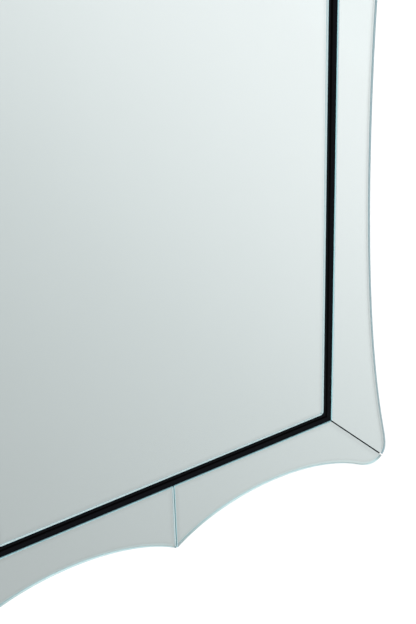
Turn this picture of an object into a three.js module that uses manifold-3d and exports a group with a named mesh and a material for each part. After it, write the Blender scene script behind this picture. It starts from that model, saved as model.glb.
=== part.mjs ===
// A large wall mirror: a rectangular mirror plate, a recessed black band round it, and a border of six
// mirror strips whose outer edges are long hollow curves that end in rounded lobes at the corners.
// Millimetres, +Z up. The mirror faces -Y, and its hanging rail lies against the wall at Y = 0.
import * as THREE from "three";
import { mergeVertices } from "three/addons/utils/BufferGeometryUtils.js";
import Module from "manifold-3d";

const wasm = await Module();
wasm.setup();

// The opening inside the border strips, from the centre to their straight inner edges
const openingHalfWidth = 284;
const openingHalfHeight = 438;

// The layers, from the wall to the face of the glass
const clearance = 0.3;
const railThickness = 12;
const boardThickness = 12;
const glassThickness = 4;
const boardBack = railThickness + clearance;
const boardFront = boardBack + boardThickness;
const glassBack = boardFront + clearance;
const glassFront = glassBack + glassThickness;

// The gap between the plate and the border, the open joints between strips, and the glass's own edges
const bandGap = 18;
const jointGap = 1.9;
const plateCornerRadius = 5;
const glassArris = 0.2;

// The outer edge is a chain of curves through these places. A width is a strip's, from the opening's
// edge out to the glass's, and along is how far past the opening's corner it is measured. The handles
// are the curves' own, and run along the edge's slope there.
const cusp = { width: 102.3, slope: 0.63, handle: 86 };
const endKnee = { along: 50, width: 95.5, slope: 0.53, hollowHandle: 100, lobeHandle: 10 };
const mitre = { sideWidth: 102.2, endWidth: 98.4, endHandle: 16.9, sideHandle: 8.3 };
const sideKnee = { along: 50, width: 103.8, slope: 0.23, hollowHandle: 152, lobeHandle: 31 };
const waist = { width: 60.8, handle: 153 };

// The backing board stays behind the glass, and the band is let into it
const boardInset = 1;
const boardArris = 0.5;
const grooveDepth = 3.5;

// The black band: each half falls a little towards a fine line along its middle
const bandBelowGlass = 3.6;
const bandFall = 0.5;
const bandLineWidth = 3.6;
const bandLineDepth = 1.8;

// The rails on the back, the upper one with a bevel that hooks over a rail on the wall
const railLength = 480;
const hangingRailHeight = 60;
const hangingRailAboveCentre = 340;
const spacerRailHeight = 40;
const spacerRailBelowCentre = 350;
const railArris = 1;

const hollowSegments = 36;
const lobeSegments = 12;
const cornerSegments = 8;

const silvered = new THREE.MeshStandardMaterial({ color: 0xdfe8e7, roughness: 0.03, metalness: 1 });
const blackLacquer = new THREE.MeshStandardMaterial({ color: 0x0e0f10, roughness: 0.5, metalness: 0 });
const boardPaint = new THREE.MeshStandardMaterial({ color: 0x161616, roughness: 0.8, metalness: 0 });
const timber = new THREE.MeshStandardMaterial({ color: 0xb08a5c, roughness: 0.7, metalness: 0 });

// Inside this group X is to the right, Y is up and Z comes out of the wall, with the mirror's centre at
// zero. It is turned upright, and the origin is the middle of the hanging rail's back.
const mirror = new THREE.Group();
mirror.rotation.x = Math.PI / 2;
mirror.position.z = -hangingRailAboveCentre;

function point(x, y) {
  return new THREE.Vector2(x, y);
}

function curve(start, startHandle, endHandle, end, segments) {
  return new THREE.CubicBezierCurve(start, startHandle, endHandle, end).getPoints(segments);
}

// A strip's edge below the centre, from the cusp at the seam through the hollow and half the lobe to
// the mitre. x is along and y is width.
function endEdge(inset) {
  const start = point(-openingHalfWidth, cusp.width - inset);
  const knee = point(endKnee.along, endKnee.width - inset);
  const end = point(mitre.sideWidth - inset, mitre.endWidth - inset);
  const hollow = curve(
    start,
    point(start.x + cusp.handle, start.y - cusp.handle * cusp.slope),
    point(knee.x - endKnee.hollowHandle, knee.y - endKnee.hollowHandle * endKnee.slope),
    knee,
    hollowSegments,
  );
  const halfLobe = curve(
    knee,
    point(knee.x + endKnee.lobeHandle, knee.y + endKnee.lobeHandle * endKnee.slope),
    point(end.x - mitre.endHandle, end.y + mitre.endHandle),
    end,
    lobeSegments,
  );
  return [...hollow, ...halfLobe.slice(1)];
}

// The side's edge from the mitre through the other half of the lobe and the hollow to the waist at
// mid-height. Here x is width and y is along.
function sideEdge(inset) {
  const start = point(mitre.sideWidth - inset, mitre.endWidth - inset);
  const knee = point(sideKnee.width - inset, sideKnee.along);
  const end = point(waist.width - inset, -openingHalfHeight);
  const halfLobe = curve(
    start,
    point(start.x + mitre.sideHandle, start.y - mitre.sideHandle),
    point(knee.x + sideKnee.lobeHandle * sideKnee.slope, knee.y + sideKnee.lobeHandle),
    knee,
    lobeSegments,
  );
  const hollow = curve(
    knee,
    point(knee.x - sideKnee.hollowHandle * sideKnee.slope, knee.y - sideKnee.hollowHandle),
    point(end.x, end.y + waist.handle),
    end,
    hollowSegments,
  );
  return [...halfLobe, ...hollow.slice(1)];
}

// From a corner's frame to the mirror's: right and up are 1 or -1 and choose the corner
function placed(points, right, up) {
  return points.map((p) => point(right * (openingHalfWidth + p.x), up * (openingHalfHeight + p.y)));
}

// Both strips at a joint stand back from its line by half the gap. Only at a mitre's inner end does the
// side strip reach the opening's corner, and the end strip stands back by the whole of it.
const seamStep = jointGap / 2;
const mitreStep = jointGap / 2 / Math.SQRT2;

function endStrip(right, up) {
  const edge = endEdge(0);
  edge[0] = point(-openingHalfWidth + seamStep, cusp.width - seamStep * cusp.slope);
  edge[edge.length - 1] = point(mitre.sideWidth - mitreStep, mitre.endWidth + mitreStep);
  const inner = [point(-jointGap * Math.SQRT2, 0), point(-openingHalfWidth + seamStep, 0)];
  return placed([...edge, ...inner], right, up);
}

function sideStrip(right) {
  const edge = sideEdge(0);
  edge[0] = point(mitre.sideWidth + mitreStep, mitre.endWidth - mitreStep);
  const half = [point(0, 0), ...edge];
  const lower = placed(half, right, -1);
  const upper = placed(half.slice(0, -1), right, 1);
  return [...lower, ...upper.reverse()];
}

function boardOutline() {
  const quarter = [...endEdge(boardInset), ...sideEdge(boardInset).slice(1)];
  const open = quarter.slice(1, -1);
  const lowerRight = placed(quarter, 1, -1);
  const upperRight = placed(open, 1, 1).reverse();
  const upperLeft = placed(quarter, -1, 1);
  const lowerLeft = placed(open, -1, -1).reverse();
  return [...lowerRight, ...upperRight, ...upperLeft, ...lowerLeft];
}

function roundedRectangle(halfWidth, halfHeight, radius) {
  const outline = new THREE.Path();
  const centres = [[1, -1], [1, 1], [-1, 1], [-1, -1]];
  centres.forEach(([right, up], quarter) => {
    const from = (quarter - 1) * (Math.PI / 2);
    const x = right * (halfWidth - radius);
    const y = up * (halfHeight - radius);
    outline.absarc(x, y, radius, from, from + Math.PI / 2, false);
  });
  return outline.getPoints(cornerSegments);
}

// An outline as a flat slab whose two faces have a small bevel all round
function slab(outline, back, depth, edge) {
  const geometry = new THREE.ExtrudeGeometry(new THREE.Shape(outline), {
    depth: depth - 2 * edge,
    bevelThickness: edge,
    bevelSize: edge,
    bevelOffset: -edge,
    bevelSegments: 1,
  });
  return geometry.translate(0, 0, back + edge);
}

// A profile carried round the opening with mitred corners. Each of its points is how far it lies inside
// the opening's edge and how far from the wall.
function mitredFrame(profile) {
  const corners = [[1, -1], [1, 1], [-1, 1], [-1, -1]];
  const positions = corners.flatMap(([right, up]) =>
    profile.flatMap(([inside, out]) => [
      right * (openingHalfWidth - inside),
      up * (openingHalfHeight - inside),
      out,
    ]),
  );
  const index = [];
  corners.forEach((_, corner) => {
    const here = corner * profile.length;
    const next = ((corner + 1) % corners.length) * profile.length;
    profile.forEach((_, i) => {
      const j = (i + 1) % profile.length;
      index.push(here + i, next + i, next + j, here + i, next + j, here + j);
    });
  });
  const geometry = new THREE.BufferGeometry();
  geometry.setAttribute("position", new THREE.Float32BufferAttribute(positions, 3));
  geometry.setIndex(index);
  return geometry;
}

function toSolid(geometry) {
  const bare = geometry.clone();
  bare.deleteAttribute("normal");
  bare.deleteAttribute("uv");
  const merged = mergeVertices(bare);
  const vertProperties = new Float32Array(merged.attributes.position.array);
  const triVerts = new Uint32Array(merged.index.array);
  return new wasm.Manifold(new wasm.Mesh({ numProp: 3, vertProperties, triVerts }));
}

function toGeometry(solid) {
  const { vertProperties, triVerts } = solid.getMesh();
  const geometry = new THREE.BufferGeometry();
  geometry.setAttribute("position", new THREE.BufferAttribute(vertProperties, 3));
  geometry.setIndex(new THREE.BufferAttribute(triVerts, 1));
  return geometry;
}

function addPiece(name, geometry, material) {
  const mesh = new THREE.Mesh(geometry, material);
  mesh.name = name;
  mirror.add(mesh);
}

// The glass, all in one plane
const plateHalfWidth = openingHalfWidth - bandGap;
const plateHalfHeight = openingHalfHeight - bandGap;
const plate = roundedRectangle(plateHalfWidth, plateHalfHeight, plateCornerRadius);
addPiece("central_mirror", slab(plate, glassBack, glassThickness, glassArris), silvered);
for (const [side, right] of [["left", -1], ["right", 1]]) {
  const strip = slab(sideStrip(right), glassBack, glassThickness, glassArris);
  addPiece(`border_${side}`, strip, silvered);
  for (const [end, up] of [["bottom", -1], ["top", 1]]) {
    const half = slab(endStrip(right, up), glassBack, glassThickness, glassArris);
    addPiece(`border_${end}_${side}`, half, silvered);
  }
}

// The band in its groove
const bandFace = glassFront - bandBelowGlass;
const bandFoot = boardFront - grooveDepth + clearance;
const bandMiddle = bandGap / 2;
const valley = bandFace - bandFall;
const bandProfile = [
  [clearance, bandFoot],
  [clearance, bandFace],
  [bandMiddle - bandLineWidth / 2, valley],
  [bandMiddle, valley - bandLineDepth],
  [bandMiddle + bandLineWidth / 2, valley],
  [bandGap - clearance, bandFace],
  [bandGap - clearance, bandFoot],
];
addPiece("black_band", mitredFrame(bandProfile), blackLacquer);

// The board with the groove cut round it, open to the front
const grooveProfile = [
  [0, boardFront - grooveDepth],
  [0, boardFront + grooveDepth],
  [bandGap, boardFront + grooveDepth],
  [bandGap, boardFront - grooveDepth],
];
const wholeBoard = toSolid(slab(boardOutline(), boardBack, boardThickness, boardArris));
const board = wholeBoard.subtract(toSolid(mitredFrame(grooveProfile)));
addPiece("backing_board", toGeometry(board), boardPaint);

// A rail is a section with its back on the wall, drawn as distance from the wall and height, and run
// out to both sides
function rail(section, height) {
  const length = slab(section, -railLength / 2, railLength, railArris);
  return length.rotateY(-Math.PI / 2).translate(0, height, 0);
}

const hangingHalf = hangingRailHeight / 2;
const hangingSection = [
  point(0, -hangingHalf),
  point(railThickness, -hangingHalf + railThickness),
  point(railThickness, hangingHalf),
  point(0, hangingHalf),
];
addPiece("hanging_rail", rail(hangingSection, hangingRailAboveCentre), timber);

const spacerHalf = spacerRailHeight / 2;
const spacerSection = [
  point(0, -spacerHalf),
  point(railThickness, -spacerHalf),
  point(railThickness, spacerHalf),
  point(0, spacerHalf),
];
addPiece("spacer_rail", rail(spacerSection, -spacerRailBelowCentre), timber);

export default mirror;
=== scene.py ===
# The looks of a large wall mirror: bare glass plates silvered on the back, a recessed black band, a
# painted board and two timber rails. Metres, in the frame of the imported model: the mirror faces -Y.
import math

import bmesh
import bpy
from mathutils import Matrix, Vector
from mathutils.geometry import delaunay_2d_cdt


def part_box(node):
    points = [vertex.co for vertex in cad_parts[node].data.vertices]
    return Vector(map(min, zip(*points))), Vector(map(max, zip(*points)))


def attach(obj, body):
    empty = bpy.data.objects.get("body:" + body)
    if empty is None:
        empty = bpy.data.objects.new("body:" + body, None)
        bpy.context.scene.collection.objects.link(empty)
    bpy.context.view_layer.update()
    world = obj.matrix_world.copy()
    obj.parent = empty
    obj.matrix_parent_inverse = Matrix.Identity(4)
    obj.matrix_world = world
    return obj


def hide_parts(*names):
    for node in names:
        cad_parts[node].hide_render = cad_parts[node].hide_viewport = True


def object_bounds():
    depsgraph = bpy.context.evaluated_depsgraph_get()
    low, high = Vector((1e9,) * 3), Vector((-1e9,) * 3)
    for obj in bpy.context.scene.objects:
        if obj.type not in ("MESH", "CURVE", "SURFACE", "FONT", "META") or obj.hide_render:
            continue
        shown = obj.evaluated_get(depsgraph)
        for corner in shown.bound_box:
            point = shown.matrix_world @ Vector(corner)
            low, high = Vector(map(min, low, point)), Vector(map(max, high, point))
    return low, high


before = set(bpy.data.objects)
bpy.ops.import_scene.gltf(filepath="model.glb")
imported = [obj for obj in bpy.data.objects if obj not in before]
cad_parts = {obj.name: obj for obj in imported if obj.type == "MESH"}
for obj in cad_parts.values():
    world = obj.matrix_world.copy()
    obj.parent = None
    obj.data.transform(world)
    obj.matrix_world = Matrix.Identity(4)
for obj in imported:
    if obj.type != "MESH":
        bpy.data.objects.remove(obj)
cad_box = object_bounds()

MM = 0.001
SAME_PLACE = 0.001 * MM

SIDE_STRIPS = ("border_left", "border_right")
GLASS_PIECES = (
    "central_mirror",
    *SIDE_STRIPS,
    "border_bottom_left",
    "border_bottom_right",
    "border_top_left",
    "border_top_right",
)

# The protective paint behind the silvering, as a thin sheet close behind the glass
PAINT_STANDS_OFF = 0.02 * MM
PAINT_THICKNESS = 0.1 * MM

# The silvering is darker near the edges of a piece, which is painted shade, and close to an outer edge it is
# lighter and blue-green, a painted glow of the light in the glass. Each step is a distance from the edge,
# with the shares of the full painted shade and of the full painted glow there. The side strips have no
# painted shade at their inner edges and the most at their outer.
RIM_STEPS = (
    (0.0, 1.0, 1.0),
    (3.4 * MM, 1.0, 1.0),
    (4.8 * MM, 0.85, 0.0),
    (7.0 * MM, 0.25, 0.0),
    (10.0 * MM, 0.0, 0.0),
)
RIM_DARKENS = 0.07
OUTER_RIM_PAINTED_GLOW = 0.85
SIDE_STRIP_OUTER_RIM_DARKENS = 0.24
SIDE_STRIP_OUTER_RIM_PAINTED_GLOW = 0.2

# What lies further than this outside the opening of the border is its outer edge
OUTER_FROM = 55 * MM

# The camera of the photograph: to the left of the mirror, above its lower edge and close in front of it
CAMERA_PLACE = (-0.7970, -1.2700, 0.1996)
CAMERA_ANGLES = (64.161, 1.602, -35.561)
CAMERA_LENS = 73.96

# The floor is as far below as under a mirror that hangs with its middle at eye height
MIDDLE_ABOVE_FLOOR = 1.5
FLOOR_HALF_SIZE = 30.0

# A soft light from the upper left, with its turn and its spread in degrees
SUN_STRENGTH = 3.4
SUN_ANGLES = (66, 0, -62)
SUN_SPREAD = 60

# What the mirror sees: a soft gradient round the studio, by how far a direction points towards one side.
# Each stop is that share, from -1 to 1, and the light there.
LIGHT_SIDE = Vector((0.89, -0.24, 0.389))
SURROUNDINGS = (
    (-1.0, (1.9, 1.75, 1.72)),
    (-0.6, (1.6, 1.5, 1.5)),
    (-0.3, (1.12, 1.06, 1.06)),
    (0.0, (0.55, 0.55, 0.55)),
    (0.2, (0.465, 0.475, 0.475)),
    (0.44, (0.69, 0.71, 0.708)),
    (0.64, (1.04, 1.03, 1.03)),
    (0.7, (1.05, 1.03, 1.03)),
    (0.8, (1.4, 1.5, 1.55)),
    (1.0, (1.5, 1.7, 1.75)),
)

# The camera itself sees plain white round the mirror
BACKDROP_LIGHT = 1.05

# Most values of a noise lie between these
NOISE_RANGE = (0.3, 0.7)

# The sockets of a mix node that carry its two colours and its result
FIRST_COLOUR, SECOND_COLOUR, MIXED_COLOUR = 6, 7, 2


def set_stops(ramp, stops):
    """Fill a colour ramp with stops, each a place from 0 to 1 and a colour."""
    while len(ramp.elements) < len(stops):
        ramp.elements.new(0.5)
    for element, (place, colour) in zip(ramp.elements, stops):
        element.position = place
        element.color = (*colour, 1)


class Nodes:
    """A new material, and short ways to add and link its nodes."""

    def __init__(self, name):
        self.material = bpy.data.materials.new(name)
        self.material.use_nodes = True
        self.tree = self.material.node_tree
        self.shader = self.tree.nodes["Principled BSDF"]

    def add(self, kind, **settings):
        node = self.tree.nodes.new(kind)
        for key, value in settings.items():
            if hasattr(node, key):
                setattr(node, key, value)
            else:
                node.inputs[key.replace("_", " ")].default_value = value
        return node

    def link(self, output, target):
        self.tree.links.new(output, target)

    def set(self, **values):
        for key, value in values.items():
            self.shader.inputs[key.replace("_", " ")].default_value = value

    def place(self, stretch=(1, 1, 1)):
        """The object's own coordinates in metres, stretched along its axes."""
        coordinates = self.add("ShaderNodeTexCoord")
        mapping = self.add("ShaderNodeMapping")
        mapping.inputs["Scale"].default_value = stretch
        self.link(coordinates.outputs["Object"], mapping.inputs["Vector"])
        return mapping.outputs["Vector"]

    def noise(self, scale, detail=3.0, stretch=(1, 1, 1), roughness=0.5):
        node = self.add("ShaderNodeTexNoise", Scale=scale, Detail=detail, Roughness=roughness)
        self.link(self.place(stretch), node.inputs["Vector"])
        return node.outputs["Fac"]

    def spread(self, value, low, high):
        """A noise value turned into the range from low to high."""
        node = self.add("ShaderNodeMapRange", To_Min=low, To_Max=high)
        node.inputs["From Min"].default_value, node.inputs["From Max"].default_value = NOISE_RANGE
        self.link(value, node.inputs["Value"])
        return node.outputs["Result"]

    def mix(self, share, first, second):
        """Two colours mixed by a share. Each is a plain colour or the output of a node."""
        node = self.add("ShaderNodeMix", data_type="RGBA")
        self.link(share, node.inputs["Factor"])
        for socket, colour in ((FIRST_COLOUR, first), (SECOND_COLOUR, second)):
            if isinstance(colour, tuple):
                node.inputs[socket].default_value = (*colour, 1)
            else:
                self.link(colour, node.inputs[socket])
        return node.outputs[MIXED_COLOUR]

    def ramp(self, value, colours):
        """Colours spread evenly over a value from 0 to 1."""
        node = self.add("ShaderNodeValToRGB")
        self.link(value, node.inputs["Fac"])
        set_stops(node.color_ramp, [(i / (len(colours) - 1), c) for i, c in enumerate(colours)])
        return node.outputs["Color"]

    def bump(self, height, distance, strength=1.0):
        node = self.add("ShaderNodeBump", Strength=strength, Distance=distance)
        self.link(height, node.inputs["Height"])
        self.link(node.outputs["Normal"], self.shader.inputs["Normal"])

    def colour(self, output):
        self.link(output, self.shader.inputs["Base Color"])

    def rough(self, output):
        self.link(output, self.shader.inputs["Roughness"])


def clear_glass():
    made = Nodes("clear_glass")
    made.set(Base_Color=(0.97, 1.0, 0.995, 1), IOR=1.52, Transmission_Weight=1.0)
    made.rough(made.spread(made.noise(6.0), 0.0, 0.004))
    return made.material


def silvering():
    made = Nodes("silvering")
    made.set(Metallic=1.0, Roughness=0.0)
    colour = made.mix(made.noise(9.0), (0.88, 0.925, 0.927), (0.89, 0.935, 0.937))
    # Near the edges the colour goes towards black, which is painted shade, and near outer edges towards light
    # blue-green, which is a painted glow
    for name, full in (("rim", (0.0, 0.0, 0.0)), ("painted_glow", (0.88, 1.0, 1.0))):
        share = made.add("ShaderNodeAttribute", attribute_name=name)
        colour = made.mix(share.outputs["Fac"], colour, full)
    made.colour(colour)
    return made.material


def glass_side(name, outside, inside, roughness, grain):
    """A narrow face round a glass piece. It has colours for its outside and others for its inside, which
    shows through the glass, each from the silvered back to the front. These changes of colour across the face
    and between its two sides are painted light and shade."""
    made = Nodes(name)
    place = made.add("ShaderNodeSeparateXYZ")
    made.link(made.place(), place.inputs["Vector"])
    front, back = (corner.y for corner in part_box("central_mirror"))
    forward = made.add("ShaderNodeMapRange", From_Min=back, From_Max=front)
    made.link(place.outputs["Y"], forward.inputs["Value"])
    through_glass = made.add("ShaderNodeNewGeometry").outputs["Backfacing"]
    seen_outside, seen_inside = (made.ramp(forward.outputs["Result"], c) for c in (outside, inside))
    made.colour(made.mix(through_glass, seen_outside, seen_inside))
    made.rough(made.spread(made.noise(grain), *roughness))
    return made, through_glass


def polished_side(name, outside, inside):
    """Polished flat, so that seen through the glass it reflects like a mirror."""
    made, through_glass = glass_side(name, outside, inside, (0.0, 0.1), 220.0)
    made.link(through_glass, made.shader.inputs["Metallic"])
    return made.material


def ground_side(name, outside):
    """The arris is ground, so it scatters the light. Its lighter colours seen through the glass are painted
    light.
    """
    inside = ((0.78, 0.95, 1.0), (0.6, 0.85, 0.95))
    made, _ = glass_side(name, outside, inside, (0.25, 0.4), 900.0)
    made.set(IOR=1.52, Transmission_Weight=0.5)
    return made.material


def back_paint():
    made = Nodes("back_paint")
    made.colour(made.mix(made.noise(14.0), (0.2, 0.215, 0.23), (0.24, 0.255, 0.27)))
    made.rough(made.spread(made.noise(80.0), 0.5, 0.65))
    made.bump(made.noise(900.0, detail=1.0), 0.02 * MM)
    return made.material


def black_lacquer():
    """The flat parts are satin. Every face that doesn't face straight out, the sides of the fine line among
    them, is painted blacker, which is painted shade.
    """
    made = Nodes("black_lacquer")
    made.set(IOR=1.45, Specular_IOR_Level=0.04)
    normal = made.add("ShaderNodeNewGeometry").outputs["True Normal"]
    outward = made.add("ShaderNodeVectorMath", operation="DOT_PRODUCT")
    made.link(normal, outward.inputs[0])
    outward.inputs[1].default_value = (0, -1, 0)
    flat = made.add("ShaderNodeMath", operation="GREATER_THAN")
    made.link(outward.outputs["Value"], flat.inputs[0])
    nearly_straight = 0.9
    flat.inputs[1].default_value = nearly_straight
    satin = made.mix(made.noise(25.0), (0.0028, 0.003, 0.0042), (0.0036, 0.0038, 0.005))
    # Faces that don't face straight out are blacker, which is painted shade in the fine line
    made.colour(made.mix(flat.outputs["Value"], (0.0004, 0.0004, 0.0006), satin))
    made.rough(made.spread(made.noise(120.0), 0.38, 0.5))
    made.bump(made.noise(350.0, detail=2.0), 0.03 * MM)
    return made.material


def board_paint():
    made = Nodes("board_paint")
    made.set(Specular_IOR_Level=0.3)
    made.colour(made.mix(made.noise(18.0), (0.009, 0.009, 0.01), (0.016, 0.016, 0.017)))
    made.rough(made.spread(made.noise(60.0), 0.6, 0.8))
    made.bump(made.noise(700.0, detail=4.0, roughness=0.7), 0.12 * MM)
    return made.material


def bare_timber():
    """Softwood with its grain along the rail."""
    made = Nodes("bare_timber")
    grain = made.noise(26.0, detail=5.0, stretch=(0.12, 1, 1.6), roughness=0.55)
    fibre = made.noise(380.0, detail=2.0, stretch=(0.03, 1, 1))
    rings = made.add("ShaderNodeMath", operation="PINGPONG")
    made.link(made.spread(grain, 0.0, 5.0), rings.inputs[0])
    rings.inputs[1].default_value = 1.0
    made.colour(made.mix(rings.outputs["Value"], (0.53, 0.36, 0.19), (0.38, 0.23, 0.105)))
    made.rough(made.spread(fibre, 0.55, 0.72))
    made.bump(fibre, 0.08 * MM)
    return made.material


def studio_floor():
    made = Nodes("studio_floor")
    made.colour(made.mix(made.noise(3.0), (0.86, 0.86, 0.86), (0.88, 0.88, 0.88)))
    made.rough(made.spread(made.noise(9.0), 0.7, 0.8))
    return made.material


GLASS = clear_glass()
SILVER = silvering()
# The blue-green is the glass's own colour. From outside, dark at the back and light at the front is painted
# shade and light. Seen through the glass, light at the back and dark blue-green at the front is painted light
# and shade.
EDGE = polished_side(
    "polished_edge",
    outside=((0.01, 0.05, 0.07), (0.6, 0.95, 1.0)),
    inside=((0.94, 0.92, 0.91), (0.84, 1.0, 1.0), (0.04, 0.42, 0.62)),
)
# The side strips' edges are a copy of the same edge with colours set for faces that turn sideways, which is
# painted light and shade. From outside they are lighter at the back, and through the glass they are darker.
SIDE_EDGE = polished_side(
    "side_strip_edge",
    outside=((0.3, 0.68, 0.74), (0.55, 0.56, 0.57)),
    inside=((0.54, 0.7, 0.76), (0.24, 0.38, 0.45)),
)
# From outside the arris is a little darker towards the back, which is painted shade
ARRIS = ground_side("ground_arris", ((0.46, 0.56, 0.59), (0.52, 0.6, 0.62)))
# The central plate's arrises are nearly black from outside, which is painted shade where they face the recess
# of the black band
PLATE_ARRIS = ground_side("plate_arris", ((0.01, 0.05, 0.08), (0.01, 0.05, 0.08)))
PAINT = back_paint()
FINISHES = [GLASS, SILVER, EDGE, SIDE_EDGE, ARRIS, PLATE_ARRIS, PAINT]

# The opening inside the border strips, a hair wider than the band that fills its edge
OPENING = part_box("black_band")


def is_outer(x, z):
    """Whether a place on a glass piece is near the border's outer edge."""
    beside = abs(x) - OPENING[1].x
    beyond = max(OPENING[0].z - z, z - OPENING[1].z)
    return max(beside, beyond) > OUTER_FROM


def rim_of(node, outer):
    """The full painted shade and the full painted glow at an edge."""
    if node not in SIDE_STRIPS:
        return RIM_DARKENS, OUTER_RIM_PAINTED_GLOW if outer else 0.0
    if outer:
        return SIDE_STRIP_OUTER_RIM_DARKENS, SIDE_STRIP_OUTER_RIM_PAINTED_GLOW
    return 0.0, 0.0


def finish_of(normal, node):
    """Which finish a face of a glass piece has, by the way it faces."""
    straight, slanted = 0.95, 0.3
    if normal.y < -straight:
        return GLASS
    if normal.y > straight:
        return SILVER
    if abs(normal.y) > slanted:
        return PLATE_ARRIS if node == "central_mirror" else ARRIS
    return SIDE_EDGE if node in SIDE_STRIPS else EDGE


def add_paint(mesh, back):
    """A thin closed sheet behind the silvered face called back."""
    rings = []
    for stands_off in (PAINT_STANDS_OFF, PAINT_STANDS_OFF + PAINT_THICKNESS):
        shift = Vector((0, stands_off, 0))
        rings.append([mesh.verts.new(v.co + shift) for v in back.verts])
    near, far = rings
    faces = [mesh.faces.new(reversed(near)), mesh.faces.new(far)]
    for i in range(len(near)):
        j = (i + 1) % len(near)
        faces.append(mesh.faces.new((near[i], near[j], far[j], far[i])))
    for face in faces:
        face.material_index = FINISHES.index(PAINT)


class Side:
    """A straight stretch of a closed flat line that has its inside on the left."""

    def __init__(self, start, end):
        self.start = start
        self.along = (end - start).normalized()
        self.left = Vector((-self.along.y, self.along.x))
        self.outer = is_outer(*(start + end) / 2)


def meeting(first, second, distance):
    """Where two sides meet once both have moved to their left."""
    from_first = first.start + first.left * distance
    from_second = second.start + second.left * distance
    share = (from_second - from_first).cross(second.along) / first.along.cross(second.along)
    return from_first + first.along * share


def inward(sides, distance):
    """The corners of a closed line moved inside it, and its sides without those that the move turns round."""
    while True:
        corners = [meeting(sides[i - 1], side, distance) for i, side in enumerate(sides)]
        stretches = zip(sides, corners, corners[1:] + corners[:1])
        kept = [side for side, start, end in stretches if (end - start).dot(side.along) > 0]
        if len(kept) == len(sides):
            return corners, sides
        sides = kept


def add_rim(mesh, back, node):
    """Rings of corners near the edge of the silvered face called back, which carry its painted shade and
    painted glow.
    """
    darkness = mesh.verts.layers.float.new("rim")
    painted_glow = mesh.verts.layers.float.new("painted_glow")
    outline = list(back.verts)
    loop = [Vector((v.co.x, v.co.z)) for v in outline]
    if sum(a.cross(b) for a, b in zip(loop, loop[1:] + loop[:1])) < 0:
        outline.reverse()
        loop.reverse()
    all_sides = [Side(a, b) for a, b in zip(loop, loop[1:] + loop[:1])]
    corners = outline
    sides = all_sides
    lines = []
    for distance, share_of_darkness, share_of_painted_glow in RIM_STEPS:
        if distance:
            points, sides = inward(all_sides, distance)
            corners += [mesh.verts.new((p.x, corners[0].co.y, p.y)) for p in points]
        ring = corners[-len(sides):]
        first = len(corners) - len(ring)
        for i, corner in enumerate(ring):
            outer = sides[i - 1].outer and sides[i].outer
            full_darkness, full_painted_glow = rim_of(node, outer)
            corner[darkness] = share_of_darkness * full_darkness
            corner[painted_glow] = share_of_painted_glow * full_painted_glow
            lines.append((first + i, first + (i + 1) % len(ring)))
    flat = [Vector((v.co.x, v.co.z)) for v in corners]
    inside_only = 1
    triangles = delaunay_2d_cdt(flat, lines, [], inside_only, SAME_PLACE)[2]
    mesh.faces.remove(back)
    for triangle in triangles:
        face = mesh.faces.new([corners[i] for i in reversed(triangle)])
        face.material_index = FINISHES.index(SILVER)


def sharpen(mesh):
    """Smooth shading that keeps every edge sharper than the angle."""
    sharp = math.radians(25)
    for face in mesh.faces:
        face.smooth = True
    for edge in mesh.edges:
        edge.smooth = len(edge.link_faces) == 2 and edge.calc_face_angle(0) < sharp


def glass_piece(node):
    """A plate of mirror glass: the solid's form, with a finish for each kind of face."""
    mesh = bmesh.new()
    mesh.from_mesh(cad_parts[node].data)
    bmesh.ops.remove_doubles(mesh, verts=mesh.verts, dist=SAME_PLACE)
    bmesh.ops.dissolve_limit(
        mesh,
        angle_limit=math.radians(0.05),
        verts=mesh.verts,
        edges=mesh.edges,
        delimit={"NORMAL"},
    )
    for face in mesh.faces:
        face.material_index = FINISHES.index(finish_of(face.normal, node))
    back = max(mesh.faces, key=lambda face: face.calc_area() * face.normal.y)
    add_paint(mesh, back)
    add_rim(mesh, back, node)
    mesh.normal_update()
    sharpen(mesh)
    data = bpy.data.meshes.new(node + "_glass")
    mesh.to_mesh(data)
    mesh.free()
    for material in FINISHES:
        data.materials.append(material)
    piece = bpy.data.objects.new(node + "_glass", data)
    bpy.context.scene.collection.objects.link(piece)
    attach(piece, "root")
    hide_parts(node)
    return piece


def dress(node, material):
    """A finish for a solid that is shown as it is."""
    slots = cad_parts[node].data.materials
    slots.clear()
    slots.append(material)


for name in GLASS_PIECES:
    glass_piece(name)
dress("black_band", black_lacquer())
dress("backing_board", board_paint())
TIMBER = bare_timber()
dress("hanging_rail", TIMBER)
dress("spacer_rail", TIMBER)


def add_floor():
    low, high = cad_box
    height = (low.z + high.z) / 2 - MIDDLE_ABOVE_FLOOR
    mesh = bmesh.new()
    bmesh.ops.create_grid(mesh, x_segments=1, y_segments=1, size=FLOOR_HALF_SIZE)
    data = bpy.data.meshes.new("floor")
    mesh.to_mesh(data)
    mesh.free()
    data.materials.append(studio_floor())
    floor = bpy.data.objects.new("floor", data)
    floor.location.z = height
    floor.visible_glossy = False
    floor.visible_transmission = False
    bpy.context.scene.collection.objects.link(floor)


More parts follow.
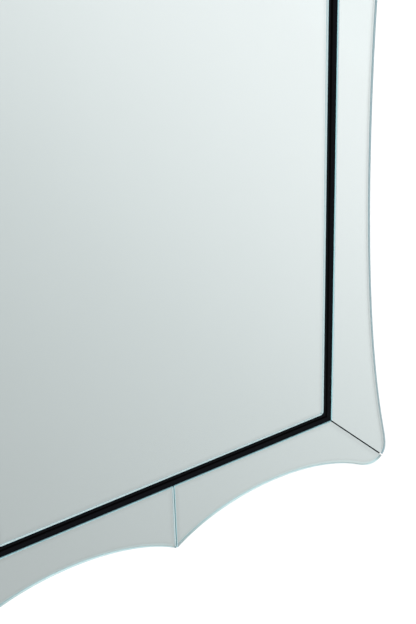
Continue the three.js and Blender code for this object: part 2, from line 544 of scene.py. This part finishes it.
def add_sun():
    light = bpy.data.lights.new("soft_light", "SUN")
    light.energy = SUN_STRENGTH
    light.angle = math.radians(SUN_SPREAD)
    sun = bpy.data.objects.new("soft_light", light)
    sun.rotation_euler = [math.radians(angle) for angle in SUN_ANGLES]
    sun.visible_glossy = False
    sun.visible_transmission = False
    bpy.context.scene.collection.objects.link(sun)


def add_world():
    world = bpy.data.worlds.new("studio")
    bpy.context.scene.world = world
    world.use_nodes = True
    tree = world.node_tree
    tree.nodes.clear()
    direction = tree.nodes.new("ShaderNodeTexCoord")
    along_side = tree.nodes.new("ShaderNodeVectorMath")
    along_side.operation = "DOT_PRODUCT"
    along_side.inputs[1].default_value = LIGHT_SIDE
    tree.links.new(direction.outputs["Generated"], along_side.inputs[0])
    share = tree.nodes.new("ShaderNodeMapRange")
    share.inputs["From Min"].default_value = -1
    tree.links.new(along_side.outputs["Value"], share.inputs["Value"])
    ramp = tree.nodes.new("ShaderNodeValToRGB")
    ramp.color_ramp.interpolation = "B_SPLINE"
    set_stops(ramp.color_ramp, [((towards + 1) / 2, light) for towards, light in SURROUNDINGS])
    tree.links.new(share.outputs["Result"], ramp.inputs["Fac"])
    around = tree.nodes.new("ShaderNodeBackground")
    tree.links.new(ramp.outputs["Color"], around.inputs["Color"])
    backdrop = tree.nodes.new("ShaderNodeBackground")
    backdrop.inputs["Color"].default_value = (1, 1, 1, 1)
    backdrop.inputs["Strength"].default_value = BACKDROP_LIGHT
    path = tree.nodes.new("ShaderNodeLightPath")
    either = tree.nodes.new("ShaderNodeMixShader")
    tree.links.new(path.outputs["Is Camera Ray"], either.inputs["Fac"])
    tree.links.new(around.outputs["Background"], either.inputs[1])
    tree.links.new(backdrop.outputs["Background"], either.inputs[2])
    output = tree.nodes.new("ShaderNodeOutputWorld")
    tree.links.new(either.outputs["Shader"], output.inputs["Surface"])


def add_camera():
    data = bpy.data.cameras.new("camera")
    data.lens = CAMERA_LENS
    camera = bpy.data.objects.new("camera", data)
    camera.location = CAMERA_PLACE
    camera.rotation_euler = [math.radians(angle) for angle in CAMERA_ANGLES]
    bpy.context.scene.collection.objects.link(camera)
    bpy.context.scene.camera = camera


add_floor()
add_sun()
add_world()
add_camera()
bpy.context.scene.view_settings.view_transform = "Standard"
